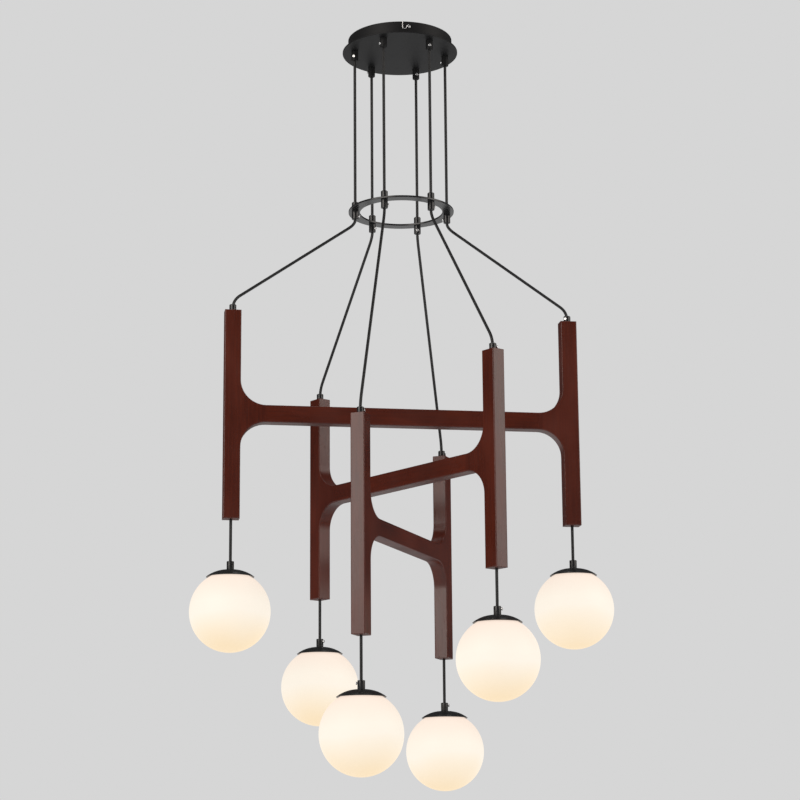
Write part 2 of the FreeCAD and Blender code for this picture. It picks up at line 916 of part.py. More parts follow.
def cord_grip(post, place):
    """The sleeve on the cap that clamps the cord, and its set screw."""
    blank = new_body(f"grip_blank_{post}", place)
    thread = of.holder_stem + of.thread_clear
    socket_end = holder_top + of.thread_end
    revolve(blank, [
        (thread, cap_top),
        (of.grip_radius, cap_top),
        (of.grip_radius, grip_top - of.sleeve_chamfer),
        (of.grip_radius - of.sleeve_chamfer, grip_top),
        (cable_bore, grip_top),
        (cable_bore, socket_end),
        (thread, socket_end),
    ])
    centre = place.Base.add(vector(z=(cap_top + of.grip_screw_rise).value))
    seats = [(centre, GRIP_FACING[post - 1])]
    sleeve = drilled(f"grip_sleeve_{post}", blank, of.grip_radius, seats)
    screws = screws_at(f"grip_screw_{post}", of.grip_radius, seats)
    return gathered(f"cord_grip_{post}", [sleeve] + screws)


def lamp_cap(post, place):
    """The domed metal cap over the globe's neck."""
    body = new_body(f"lamp_cap_{post}", place)
    hole = of.holder_stem + of.hole_clear
    revolve(body, [
        (hole, cap_inner_top),
        (of.cap_land, cap_inner_top),
        (of.cap_radius - of.cap_lip, cap_rim),
        (of.cap_radius, cap_rim),
        (of.cap_land, cap_top),
        (hole, cap_top),
    ], {1: (of.cap_curve - of.cap_wall, False), 3: (of.cap_curve, True)})
    return body


def lamp_holder(post, place):
    """The holder under the cap: a stem into the cord grip, a threaded collar that carries the
    globe's neck, and a body with two contact sockets."""
    body = new_body(f"lamp_holder_{post}", place)
    collar = of.neck_radius - of.globe_clear
    collar_foot = globe_top - of.neck_depth
    revolve(body, [
        (of.holder_bore, holder_bottom),
        (of.holder_body, holder_bottom),
        (of.holder_body, holder_web),
        (collar - of.holder_collar_wall, holder_web),
        (collar - of.holder_collar_wall, collar_foot),
        (collar, collar_foot),
        (collar, holder_web),
        (of.holder_flange, holder_web),
        (of.holder_flange, holder_web_top),
        (of.holder_seat, holder_web_top),
        (of.holder_seat, cap_inner_top),
        (of.holder_stem, cap_inner_top),
        (of.holder_stem, holder_top),
        (of.holder_bore, holder_top),
    ])
    sockets = new_sketch(body, "XY_Plane", holder_bottom)
    for side in (-1, 1):
        draw_circle(sockets, of.pin_spacing / 2 * side, 0, of.socket_radius)
    pocket(body, sockets, of.socket_depth, upward=True)
    return body


def globe(post, place):
    """A hollow glass ball, open at the top, with a neck that turns down inside it."""
    body = new_body(f"globe_{post}", place)
    outside = of.globe_radius
    inside = outside - of.globe_wall
    neck_out = of.neck_radius + of.neck_wall
    foot = globe_top - of.neck_depth
    revolve(body, [
        (0, -outside),
        (root(outside * outside - globe_top * globe_top), globe_top),
        (of.neck_radius, globe_top),
        (of.neck_radius, foot),
        (neck_out, foot),
        (neck_out, root(inside * inside - neck_out * neck_out)),
        (inside, 0),
        (0, -inside),
    ], {0: (outside, True), 5: (inside, False), 6: (inside, False)})
    return body


def bulb(post, place):
    """A capsule bulb: a base with two contact pins, and a round-ended glass."""
    body = new_body(f"bulb_{post}", place)
    top = holder_bottom - of.globe_clear
    glass_top = top - of.bulb_base_height
    tip = glass_top - of.bulb_length
    revolve(body, [
        (0, tip),
        (of.bulb_radius, tip + of.bulb_radius),
        (of.bulb_radius, glass_top),
        (of.bulb_base, glass_top),
        (of.bulb_base, top),
        (0, top),
    ], {0: (of.bulb_radius, True)})
    pins = new_sketch(body, "XY_Plane", top)
    for side in (-1, 1):
        draw_circle(pins, of.pin_spacing / 2 * side, 0, of.pin_radius)
    pad(body, pins, of.pin_length)
    return body


# ---------------------------------------------------------------- assembly

def all_parts():
    parts = [
        ceiling_bracket(), canopy_drum(), canopy_disc(), canopy_side_screws(),
        canopy_wire_hook(), terminal_block(), canopy_glands(), gland_nuts(),
        sleeve_set_screws(), spreader_ring(), ring_clamp_sleeves(), canopy_cables(),
    ]
    for name, azimuth, posts in FRAMES:
        parts += [
            wood_frame(name, azimuth),
            post_glands(name, azimuth, posts),
            post_gland_screws(name, azimuth, posts),
            lower_cables(name, azimuth),
        ]
        for half, post in zip((0, 180), posts):
            place = lamp_place(name, azimuth + half, post)
            parts += [
                drop_cord(post, place), cord_grip(post, place), lamp_cap(post, place),
                lamp_holder(post, place), globe(post, place), bulb(post, place),
            ]
    return parts


def check(parts):
    """Stop before anything is written if an object has failed."""
    for item in doc.Objects:
        if "Invalid" in item.State or "Error" in item.State:
            raise RuntimeError(f"{item.Name} is {item.State}")
    for item in parts:
        if item.Shape.isNull() or not item.Shape.isValid() or not item.Shape.Solids:
            raise RuntimeError(f"{item.Label} has no valid shape")
    print(f"{len(parts)} sub-parts, {sum(len(item.Shape.Solids) for item in parts)} solids")


parts = all_parts()
doc.recompute()
check(parts)
os.makedirs("parts", exist_ok=True)
for item in parts:
    item.Shape.exportStep(f"parts/{item.Label}.step")
    print(f"{item.Label:24} {len(item.Shape.Solids):3} solids {item.Shape.Volume:14.2f} mm3")
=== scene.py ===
import math
from typing import NamedTuple

import bmesh
import bpy
import numpy as np
from bpy.props import FloatProperty, FloatVectorProperty, PointerProperty
from mathutils import Matrix, Vector


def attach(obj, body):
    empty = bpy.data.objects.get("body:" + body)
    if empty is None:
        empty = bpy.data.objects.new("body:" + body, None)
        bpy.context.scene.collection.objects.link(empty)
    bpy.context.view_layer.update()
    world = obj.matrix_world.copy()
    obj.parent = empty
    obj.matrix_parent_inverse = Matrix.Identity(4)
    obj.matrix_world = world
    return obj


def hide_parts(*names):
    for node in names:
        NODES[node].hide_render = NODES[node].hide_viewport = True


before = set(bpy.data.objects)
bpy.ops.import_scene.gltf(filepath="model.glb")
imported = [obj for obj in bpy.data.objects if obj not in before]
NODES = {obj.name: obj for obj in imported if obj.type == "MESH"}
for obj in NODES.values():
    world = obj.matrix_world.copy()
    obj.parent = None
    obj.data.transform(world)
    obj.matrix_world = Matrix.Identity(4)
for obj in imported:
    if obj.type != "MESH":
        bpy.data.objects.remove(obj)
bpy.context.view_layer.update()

# Orb chandelier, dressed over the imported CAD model. Metres, +Z up, origin at the centre of the
# canopy's top edge. Posts, cables and lamps 1 to 6 stand at 0, 60, ... 300 degrees about Z.

bl_info = {
    "name": "Orb Chandelier",
    "version": (1, 0, 0),
    "blender": (4, 5, 0),
    "location": "3D View > Sidebar > Orb Chandelier",
    "description": "Dresses the orb chandelier in stained wood, black metal, braid and opal glass",
    "category": "Object",
}

FRAMES = (("upper", 0, (1, 4)), ("lower", 60, (2, 5)), ("middle", 120, (3, 6)))
POSTS = range(1, 7)


# ---------------------------------------------------------------- sizes and colours

def length(name, description, default):
    return FloatProperty(name=name, description=description, default=default, unit="LENGTH",
                         subtype="DISTANCE", precision=4)


def colour(name, description, default):
    return FloatVectorProperty(name=name, description=description, default=default,
                               subtype="COLOR", size=3, min=0.0, max=1.0)


class OrbSizes(bpy.types.PropertyGroup):
    cable_radius: length("Cable radius", "Radius of the braided cable", 0.00275)
    cable_circle: length("Cable circle", "Radius on which the cables leave the canopy", 0.090)
    globe_radius: length("Globe radius", "Outer radius of the opal globes", 0.07496)
    globe_wall: length("Globe wall", "Thickness of the opal glass", 0.0022)
    cap_radius: length("Cap radius", "Radius of the domed lamp cap at its rim", 0.0445)
    grip_radius: length("Grip radius", "Radius of the cord grip on each cap", 0.0068)
    post_width: length("Post width", "Width of a wooden post across its frame", 0.031)
    fillet: length("Fillet", "Inner fillet between a post and its beam", 0.048)


class OrbColours(bpy.types.PropertyGroup):
    wood_dark: colour("Wood, dark", "Stain in the late wood and the pores", (0.040, 0.0048, 0.0012))
    wood_light: colour("Wood, light", "Stain on the early wood", (0.098, 0.0128, 0.0032))
    black_paint: colour("Black paint", "Black coats on the metal", (0.0105, 0.0105, 0.0112))
    braid: colour("Braid", "Textile braid of the cables", (0.0085, 0.0085, 0.0090))
    steel: colour("Steel", "Bright screws and the wire hook", (0.82, 0.82, 0.82))
    glow_high: colour("Glow, top", "Light through the opal glass near the cap", (0.98, 0.80, 0.68))
    glow_middle: colour("Glow, middle", "Light through the glass at its middle", (1.0, 0.915, 0.795))
    glow_low: colour("Glow, bottom", "Light through the glass at its lowest part", (0.98, 0.775, 0.505))
    backdrop: colour("Backdrop", "Plain grey behind the lamp", (0.672, 0.672, 0.672))


# ---------------------------------------------------------------- surfaces

# Columns round a turned piece, and steps along the arcs of its profile.
ROUND_LARGE = 96
ROUND_SMALL = 48
ROUND_SCREW = 24
GLOBE_STEPS = 36
CAP_STEPS = 28
LIP_STEPS = 5
SCREW_STEPS = 3

# Points nearer than this (metres) are one, turns below this (radians) aren't rounded, and edges
# above this (degrees) are sharp.
WELD_DISTANCE = 1e-7
SMALLEST_TURN = 1e-3
SHARP_ANGLE = 35.0


def ride_as(piece, body, slot, *replaced):
    """The piece moves with a body and stands for CAD nodes, which are hidden. The slot is not used."""
    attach(piece, body)
    if replaced:
        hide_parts(*replaced)
    return piece


def surface(name, points, material, uv=None, sharp=SHARP_ANGLE):
    """A mesh on a grid of points. Rows follow the first parameter and columns the second, and the
    last column joins the first. Rows that fall on one point are welded to a pole."""
    rows, columns = points.shape[:2]
    row, column = np.meshgrid(np.arange(rows - 1), np.arange(columns), indexing="ij")
    after = (column + 1) % columns
    corners = np.stack([row * columns + column, row * columns + after,
                        (row + 1) * columns + after, (row + 1) * columns + column], axis=-1)
    mesh = bpy.data.meshes.new(name)
    mesh.from_pydata(points.reshape(-1, 3), [], corners.reshape(-1, 4))
    if uv is not None:
        along, across = uv
        wide = np.linspace(0.0, across, columns + 1)
        u = np.stack([wide[column], wide[column + 1], wide[column + 1], wide[column]], axis=-1)
        v = np.stack([along[row], along[row], along[row + 1], along[row + 1]], axis=-1)
        layer = mesh.uv_layers.new(name="UVMap")
        layer.data.foreach_set("uv", np.stack([u, v], axis=-1).reshape(-1).astype(np.float32))
    cleaner = bmesh.new()
    cleaner.from_mesh(mesh)
    bmesh.ops.remove_doubles(cleaner, verts=cleaner.verts, dist=WELD_DISTANCE)
    bmesh.ops.recalc_face_normals(cleaner, faces=cleaner.faces)
    cleaner.to_mesh(mesh)
    cleaner.free()
    mesh.polygons.foreach_set("use_smooth", np.ones(len(mesh.polygons), dtype=bool))
    mesh.set_sharp_from_angle(angle=math.radians(sharp))
    mesh.materials.append(material)
    piece = bpy.data.objects.new(name, mesh)
    bpy.context.scene.collection.objects.link(piece)
    return piece


def arc(start, end, radius, left, steps):
    """Points on the arc between two points of a profile, its centre to the left or right."""
    start, end = np.array(start, float), np.array(end, float)
    chord = end - start
    reach = np.linalg.norm(chord)
    rise = math.sqrt(max(radius ** 2 - reach ** 2 / 4, 0.0))
    across = np.array([-chord[1], chord[0]]) / reach
    centre = (start + end) / 2 + across * (rise if left else -rise)
    first = math.atan2(*(start - centre)[::-1])
    turn = math.atan2(*(end - centre)[::-1]) - first
    turn = (turn + math.pi) % (2 * math.pi) - math.pi
    angles = first + turn * np.linspace(0.0, 1.0, steps + 1)
    return centre + radius * np.stack([np.cos(angles), np.sin(angles)], axis=-1)


def softened(corners, steps=4):
    """A closed profile through corners (x, y, radius), each rounded by its own radius: an arc
    tangent to both sides, starting radius times the tangent of half the turn before the corner."""
    corners = np.array(corners, float)
    places, radii = corners[:, :2], corners[:, 2]
    before, after = np.roll(places, 1, axis=0), np.roll(places, -1, axis=0)
    runs = []
    for at, back, ahead, radius in zip(places, before, after, radii):
        into = (at - back) / np.linalg.norm(at - back)
        out = (ahead - at) / np.linalg.norm(ahead - at)
        turn = math.acos(max(-1.0, min(1.0, float(into @ out))))
        if radius == 0.0 or turn < SMALLEST_TURN:
            runs.append(at[None])
            continue
        reach = radius * math.tan(turn / 2)
        left = float(into[0] * out[1] - into[1] * out[0]) > 0
        runs.append(arc(at - into * reach, at + out * reach, radius, left, steps))
    return np.concatenate(runs)


def turned_points(profile, columns, centre=(0.0, 0.0, 0.0)):
    """A profile of (radius, height) swept about Z: x and y are the radius times the cosine and
    sine of the column's angle."""
    angles = np.linspace(0.0, 2 * math.pi, columns, endpoint=False)
    radius, height = profile[:, 0, None], profile[:, 1, None]
    points = np.stack([radius * np.cos(angles), radius * np.sin(angles),
                       height + 0 * angles], axis=-1)
    return points + np.array(centre)


def closed(profile):
    return np.concatenate([profile, profile[:1]])


def turned_piece(name, profile, columns, centre, material, uv=None):
    return surface(name, turned_points(profile, columns, centre), material, uv=uv)


OFF_THE_LINE = (0.3, 0.9, 0.1)
BALL_ANGLES = (0, 18, 36, 54, 72)
FEWEST_SPANS = 8


def tube_points(line, radii, columns):
    """A round tube along a line, with its own radius at each point: each ring stands square to
    the line's direction. Its first axis is one fixed direction, made square to the line."""
    way = np.gradient(line, axis=0)
    way /= np.linalg.norm(way, axis=1, keepdims=True)
    first = np.cross(way[0], OFF_THE_LINE)
    sides = np.tile(first / np.linalg.norm(first), (len(line), 1))
    sides -= way * np.sum(sides * way, axis=1, keepdims=True)
    sides /= np.linalg.norm(sides, axis=1, keepdims=True)
    ups = np.cross(way, sides)
    angles = np.linspace(0.0, 2 * math.pi, columns, endpoint=False)
    rings = (np.cos(angles)[None, :, None] * sides[:, None]
             + np.sin(angles)[None, :, None] * ups[:, None])
    return line[:, None] + radii[:, None, None] * rings


def round_ends(run, radius, step):
    """Stations along a cord of a given length, and its radius at each: even steps between two
    half balls, whose radius is the root of 1 - (1 - distance / radius) squared."""
    ball = radius * (1 - np.cos(np.radians(BALL_ANGLES)))
    middle = np.linspace(radius, run - radius, max(FEWEST_SPANS, int(run / step)) + 1)
    stations = np.concatenate([ball, middle, run - ball[::-1]])
    depth = np.clip(np.minimum(stations, run - stations) / radius, 0.0, 1.0)
    return stations, radius * np.sqrt(1 - (1 - depth) ** 2)


# ---------------------------------------------------------------- shader building

class Shader:
    """A short way to place nodes in a material, a world or a node group."""

    def __init__(self, tree):
        self.tree = tree

    def add(self, kind, inputs=None, **settings):
        node = self.tree.nodes.new(kind)
        for key, value in settings.items():
            setattr(node, key, value)
        for key, value in (inputs or {}).items():
            self.put(node.inputs[key], value)
        return node

    def put(self, socket, value):
        if isinstance(value, bpy.types.NodeSocket):
            self.tree.links.new(value, socket)
        elif hasattr(value, "__len__") and len(value) == 3 and socket.type == "RGBA":
            socket.default_value = (*value, 1.0)
        else:
            socket.default_value = value

    def maths(self, operation, first, second=0.0, third=0.0):
        return self.add("ShaderNodeMath", {0: first, 1: second, 2: third},
                        operation=operation).outputs[0]

    def mix(self, factor, first, second):
        """A blend of two colours. A mix node has its colours at inputs 6 and 7 and output 2."""
        node = self.add("ShaderNodeMix", data_type="RGBA")
        for socket, value in zip((node.inputs[0], node.inputs[6], node.inputs[7]),
                                 (factor, first, second)):
            self.put(socket, value)
        return node.outputs[2]

    def noise(self, place, scale, detail=3.0, roughness=0.5):
        return self.add("ShaderNodeTexNoise", {"Vector": place, "Scale": scale, "Detail": detail,
                                               "Roughness": roughness}).outputs["Fac"]

    def stretch(self, value, low, high, out_low=0.0, out_high=1.0):
        return self.add("ShaderNodeMapRange", {0: value, 1: low, 2: high, 3: out_low,
                                               4: out_high}).outputs[0]

    def mapped(self, place, turn=(0, 0, 0), scale=(1, 1, 1), shift=(0, 0, 0)):
        return self.add("ShaderNodeMapping", {"Vector": place, "Location": shift,
                                              "Rotation": turn, "Scale": scale}).outputs[0]

    def bump(self, height, distance, strength=1.0, eased=0.0):
        """A bumped normal, over edges that look rounded by the eased radius."""
        inputs = {"Height": height, "Distance": distance, "Strength": strength}
        if eased:
            inputs["Normal"] = self.add("ShaderNodeBevel", {"Radius": eased}, samples=6).outputs[0]
        return self.add("ShaderNodeBump", inputs).outputs[0]

    def group(self, tree, **inputs):
        node = self.add("ShaderNodeGroup", node_tree=tree)
        for key, value in inputs.items():
            self.put(node.inputs[key.replace("_", " ")], value)
        return node.outputs


def new_group(name, inputs, outputs):
    """An empty shader group with named sockets, and its Shader, input and output nodes."""
    tree = bpy.data.node_groups.new(name, "ShaderNodeTree")
    for label, kind, default in inputs:
        socket = tree.interface.new_socket(label, in_out="INPUT", socket_type=kind)
        if default is not None:
            socket.default_value = default
    for label, kind in outputs:
        tree.interface.new_socket(label, in_out="OUTPUT", socket_type=kind)
    shader = Shader(tree)
    return tree, shader, shader.add("NodeGroupInput").outputs, shader.add("NodeGroupOutput").inputs


def new_material(name, **settings):
    """A material with a Principled shader set up, and the Shader that adds to it."""
    material = bpy.data.materials.new(name)
    material.use_nodes = True
    shader = Shader(material.node_tree)
    principled = material.node_tree.nodes["Principled BSDF"]
    for key, value in settings.items():
        shader.put(principled.inputs[key.replace("_", " ")], value)
    return material, shader, principled.inputs


def object_place(shader):
    return shader.add("ShaderNodeTexCoord").outputs["Object"]


FLOAT, COLOR, VECTOR = "NodeSocketFloat", "NodeSocketColor", "NodeSocketVector"
# The part of a noise's range that most of its values lie in.
NOISE_MIDDLE = (0.3, 0.7)


def stained_grain_group():
    """Straight wood grain along X of the vector that comes in: rings from a stretched noise, fine
    pores from a finer one, and slow changes of tone along the board."""
    tree, s, given, out = new_group(
        "Stained grain",
        [("Place", VECTOR, None), ("Dark", COLOR, None), ("Light", COLOR, None)],
        [("Color", COLOR), ("Height", FLOAT), ("Roughness", FLOAT)])
    ring_scale, pore_scale, cloud_scale = (4, 95, 95), (24, 900, 900), (7, 16, 16)
    band_radians, band_contrast, pore_darkness, ring_relief = 38.0, 0.13, 0.45, 0.4
    tones, roughnesses = (0.35, 0.85), (0.24, 0.34)
    rings = s.noise(s.mapped(given["Place"], scale=ring_scale), 1.0, 4.0, 0.55)
    bands = s.maths("SINE", s.maths("MULTIPLY", rings, band_radians))
    fine = s.noise(s.mapped(given["Place"], scale=pore_scale), 1.0, 2.0, 0.6)
    pores = s.stretch(fine, 0.60, 0.70)
    cloudy = s.noise(s.mapped(given["Place"], scale=cloud_scale), 1.0, 2.0)
    tone = s.maths("ADD", s.maths("MULTIPLY", bands, band_contrast),
                   s.stretch(cloudy, *NOISE_MIDDLE, *tones))
    stained = s.mix(tone, given["Dark"], given["Light"])
    flecked = s.mix(s.maths("MULTIPLY", pores, pore_darkness), stained, given["Dark"])
    s.put(out["Color"], flecked)
    s.put(out["Height"], s.maths("SUBTRACT", s.maths("MULTIPLY", rings, ring_relief), pores))
    s.put(out["Roughness"], s.stretch(cloudy, *NOISE_MIDDLE, *roughnesses))
    return tree


def hand_finish_group():
    """Slow mottling and fine speckle for painted and plated metal: a tone for the colour, a
    roughness round the given one, and a height for a faint orange peel."""
    tree, s, given, out = new_group(
        "Hand finish",
        [("Place", VECTOR, None), ("Color", COLOR, None), ("Roughness", FLOAT, 0.4),
         ("Grain size", FLOAT, 1600.0), ("Variation", FLOAT, 0.12)],
        [("Color", COLOR), ("Roughness", FLOAT), ("Height", FLOAT)])
    mottle_scale, slow_share, fine_share, tones = 14.0, 0.6, 0.4, (0.8, 1.25)
    slow = s.noise(given["Place"], mottle_scale, 3.0)
    fine = s.noise(given["Place"], given["Grain size"], 2.0)
    both = s.maths("ADD", s.maths("MULTIPLY", slow, slow_share),
                   s.maths("MULTIPLY", fine, fine_share))
    tone = s.stretch(both, *NOISE_MIDDLE, *tones)
    shade = s.add("ShaderNodeVectorMath", {0: given["Color"], 3: tone}, operation="SCALE")
    s.put(out["Color"], shade.outputs[0])
    drift = s.maths("MULTIPLY", s.maths("SUBTRACT", both, 0.5), given["Variation"])
    s.put(out["Roughness"], s.maths("ADD", given["Roughness"], drift))
    s.put(out["Height"], fine)
    return tree


def braid_group():
    """A cord's braid on its UV map: two families of strands wind opposite ways, and each passes
    over and under the other in turn. U runs once round the cord and V counts braid repeats."""
    tree, s, given, out = new_group("Braid", [("UV", VECTOR, None), ("Strands", FLOAT, 8.0)],
                                    [("Height", FLOAT), ("Shade", FLOAT)])
    split = s.add("ShaderNodeSeparateXYZ", {0: given["UV"]}).outputs
    round_part = s.maths("MULTIPLY", split[0], given["Strands"])
    forth = s.maths("ADD", round_part, split[1])
    back = s.maths("SUBTRACT", round_part, split[1])
    ridge = [s.maths("ABSOLUTE", s.maths("SINE", s.maths("MULTIPLY", way, math.pi)))
             for way in (forth, back)]
    over = s.maths("MODULO", s.maths("ADD", s.maths("FLOOR", forth), s.maths("FLOOR", back)), 2.0)
    over = s.maths("ABSOLUTE", over)
    turn = s.add("ShaderNodeMix", {0: over, 2: ridge[0], 3: ridge[1]}, data_type="FLOAT").outputs[0]
    s.put(out["Height"], turn)
    # Painted shade: the braid is darkened in the valleys between the strands and left at full colour on
    # their crowns.
    painted_shade_valley, painted_shade_crown = 0.35, 1.0
    s.put(out["Shade"], s.stretch(turn, 0.0, 0.9, painted_shade_valley, painted_shade_crown))
    return tree


# ---------------------------------------------------------------- materials

def colours():
    return bpy.context.scene.orb_colours


def sizes():
    return bpy.context.scene.orb_sizes


def group_named(name, build):
    return bpy.data.node_groups.get(name) or build()


def material_named(name, build):
    """The material of that name, built by build(name) the first time."""
    return bpy.data.materials.get(name) or build(name)


# Half the seam between the grain of a post and of its beam, the depth of the grain's relief, and
# where the posts' grain is cut from.
GRAIN_SEAM = 0.004
GRAIN_DEPTH = 0.00012
GRAIN_SHIFT = (0.37, 0.11, 0.05)
# How far edges look rounded, and how much lacquer shows face on.
WOOD_EDGE = 0.0018
WOOD_COAT = 0.12
# How much duller the wood gets where it is seen at a grazing angle, and between which two values
# of the layer weight.
GRAZING_DULL = 0.35
GRAZING = (0.5, 0.85)


def wood_material(name, azimuth, inner_edge):
    """Stained and lacquered wood for the frame at an azimuth. The grain runs up the posts, and
    along the beam as far as the inner edge, where its fillets end."""
    material, s, shader = new_material(name, Roughness=0.4, Specular_IOR_Level=0.45,
                                       Coat_Roughness=0.3, Coat_IOR=1.5)
    place = s.mapped(object_place(s), turn=(0, 0, -math.radians(azimuth)))
    x_part = s.add("ShaderNodeSeparateXYZ", {0: place}).outputs[0]
    upright = s.mapped(place, turn=(0, math.radians(90), 0), shift=GRAIN_SHIFT)
    grain = group_named("Stained grain", stained_grain_group)
    tones = {"Dark": tuple(colours().wood_dark), "Light": tuple(colours().wood_light)}
    post = s.group(grain, Place=upright, **tones)
    beam = s.group(grain, Place=place, **tones)
    on_post = s.stretch(s.maths("ABSOLUTE", x_part), inner_edge - GRAIN_SEAM,
                        inner_edge + GRAIN_SEAM)
    s.put(shader["Base Color"], s.mix(on_post, beam["Color"], post["Color"]))
    height = s.add("ShaderNodeMix", {0: on_post, 2: beam["Height"], 3: post["Height"]},
                   data_type="FLOAT").outputs[0]
    s.put(shader["Normal"], s.bump(height, GRAIN_DEPTH, 0.35, eased=WOOD_EDGE))
    edge_on = s.add("ShaderNodeLayerWeight", {"Blend": 0.35}).outputs["Facing"]
    grazing = s.stretch(edge_on, *GRAZING)
    s.put(shader["Roughness"],
          s.maths("MULTIPLY_ADD", grazing, GRAZING_DULL, post["Roughness"]))
    s.put(shader["Coat Weight"], s.stretch(edge_on, 0.0, 0.6, WOOD_COAT, 0.0))
    return material


class Finish(NamedTuple):
    """What a painted, plated or moulded finish is made of."""
    paint: tuple
    roughness: float
    metallic: float
    grain_size: float
    specular_level: float = 0.5


def finishes():
    tint = colours()
    black, steel = tuple(tint.black_paint), tuple(tint.steel)
    return {
        "Black powder coat": Finish(black, 0.50, 0.0, 2200.0, specular_level=0.17),
        "Black gloss coat": Finish(black, 0.24, 0.0, 2200.0),
        "Black cap coat": Finish(black, 0.30, 0.0, 1800.0),
        "Bright steel": Finish(steel, 0.26, 1.0, 900.0),
        "Zinc plate": Finish((0.42, 0.43, 0.44), 0.38, 1.0, 500.0),
        "Terminal plastic": Finish((0.72, 0.70, 0.62), 0.45, 0.0, 700.0),
        "Holder ceramic": Finish((0.70, 0.68, 0.62), 0.35, 0.0, 900.0),
    }


# How far metal edges look rounded, and the depth of the coat's peel and of the braid's strands.
METAL_EDGE = 0.0007
PEEL_DEPTH = 0.00003
BRAID_DEPTH = 0.00018
# How much darker and lighter than its colour the braid gets, by its painted shade times its fibre
# noise.
BRAID_SHADE_AND_FIBRE_TONES = (0.6, 1.4)


def build_finish(name):
    """A finish from the list, with mottling, a faint peel and eased edges."""
    chosen = finishes()[name]
    material, s, shader = new_material(name, Metallic=chosen.metallic,
                                       Specular_IOR_Level=chosen.specular_level)
    finish = s.group(group_named("Hand finish", hand_finish_group), Place=object_place(s),
                     Color=chosen.paint, Roughness=chosen.roughness,
                     Grain_size=chosen.grain_size)
    s.put(shader["Base Color"], finish["Color"])
    s.put(shader["Roughness"], finish["Roughness"])
    s.put(shader["Normal"], s.bump(finish["Height"], PEEL_DEPTH, 0.25, eased=METAL_EDGE))
    return material


def finish_named(name):
    return material_named(name, build_finish)


def build_braid(name):
    """Black textile braid, with painted shade that darkens the valleys between its strands."""
    material, s, shader = new_material(name, Roughness=0.42, Specular_IOR_Level=0.4,
                                       Sheen_Weight=0.1, Sheen_Roughness=0.4)
    place = s.add("ShaderNodeUVMap", uv_map="UVMap").outputs[0]
    braid = s.group(group_named("Braid", braid_group), UV=place)
    fibre = s.noise(s.mapped(place, scale=(60, 9, 1)), 6.0, 2.0)
    dark, light = (np.array(colours().braid) * tone for tone in BRAID_SHADE_AND_FIBRE_TONES)
    s.put(shader["Base Color"], s.mix(s.maths("MULTIPLY", braid["Shade"], fibre),
                                      tuple(dark), tuple(light)))
    s.put(shader["Normal"], s.bump(braid["Height"], BRAID_DEPTH, 0.4))
    return material


def build_opal(name):
    """Lit opal glass. V of the UV map is the height on the globe from -1 to 1; the glow is warm
    at the bottom, palest at the middle and rosy under the cap."""
    tint = colours()
    material, s, shader = new_material(name, Base_Color=(0.17, 0.16, 0.145), Roughness=0.55,
                                       Specular_IOR_Level=0.25, Emission_Strength=0.86)
    place = s.add("ShaderNodeUVMap", uv_map="UVMap").outputs[0]
    height = s.add("ShaderNodeSeparateXYZ", {0: place}).outputs[1]
    cloud = s.noise(object_place(s), 9.0, 1.0)
    unevenness, low_fade, high_fade = 0.5, (-0.95, -0.10), (0.15, 0.9)
    drift = s.maths("MULTIPLY", s.maths("SUBTRACT", cloud, 0.5), unevenness)
    level = s.maths("ADD", height, drift)
    lower = s.mix(s.stretch(level, *low_fade), tuple(tint.glow_low), tuple(tint.glow_middle))
    whole = s.mix(s.stretch(level, *high_fade), lower, tuple(tint.glow_high))
    s.put(shader["Emission Color"], whole)
    return material


# Heights of a bulb's pins, base and glass, from its top down, and half the seam below the base.
BULB_PINS = 0.010
BULB_BASE = 0.012
BULB_GLASS = 0.034
BULB_SEAM = 0.0004


def bulb_material(name, glass_top, base_top):
    """A lit capsule: frosted glass up to its level, then a pale ceramic base, then bare pins."""
    material, s, shader = new_material(name, Roughness=0.35, Emission_Strength=0.8)
    place = object_place(s)
    level = s.add("ShaderNodeSeparateXYZ", {0: place}).outputs[2]
    cloud = s.noise(place, 120.0)
    on_base = s.stretch(level, glass_top - BULB_SEAM, glass_top + BULB_SEAM)
    on_pins = s.stretch(level, base_top - BULB_SEAM / 2, base_top + BULB_SEAM / 2)
    height = s.stretch(level, glass_top - BULB_GLASS, glass_top)
    glow_foot, glow_head = (1.0, 0.90, 0.72), (0.98, 0.74, 0.44)
    glass, ceramic_dark, ceramic_light = (0.16, 0.15, 0.13), (0.62, 0.60, 0.54), (0.74, 0.72, 0.66)
    glow = s.mix(height, glow_foot, glow_head)
    s.put(shader["Emission Color"], s.mix(on_base, glow, (0.0, 0.0, 0.0)))
    ceramic = s.mix(cloud, ceramic_dark, ceramic_light)
    s.put(shader["Base Color"], s.mix(on_base, glass, ceramic))
    s.put(shader["Metallic"], on_pins)
    return material


def dress(node, material):
    """Give a CAD node's faces a material through its slots."""
    target = NODES[node]
    if not target.material_slots:
        target.data.materials.append(material)
    for slot in target.material_slots:
        slot.material = material


# ---------------------------------------------------------------- operators

class OrbStep(bpy.types.Operator):
    """One step of the chandelier."""
    bl_options = {"REGISTER", "UNDO"}


def linked(data, name):
    made = bpy.data.objects.new(name, data)
    bpy.context.scene.collection.objects.link(made)
    return made


def aimed(location, target):
    way = Vector(target) - Vector(location)
    return Matrix.Translation(location) @ way.to_track_quat("-Z", "Y").to_matrix().to_4x4()


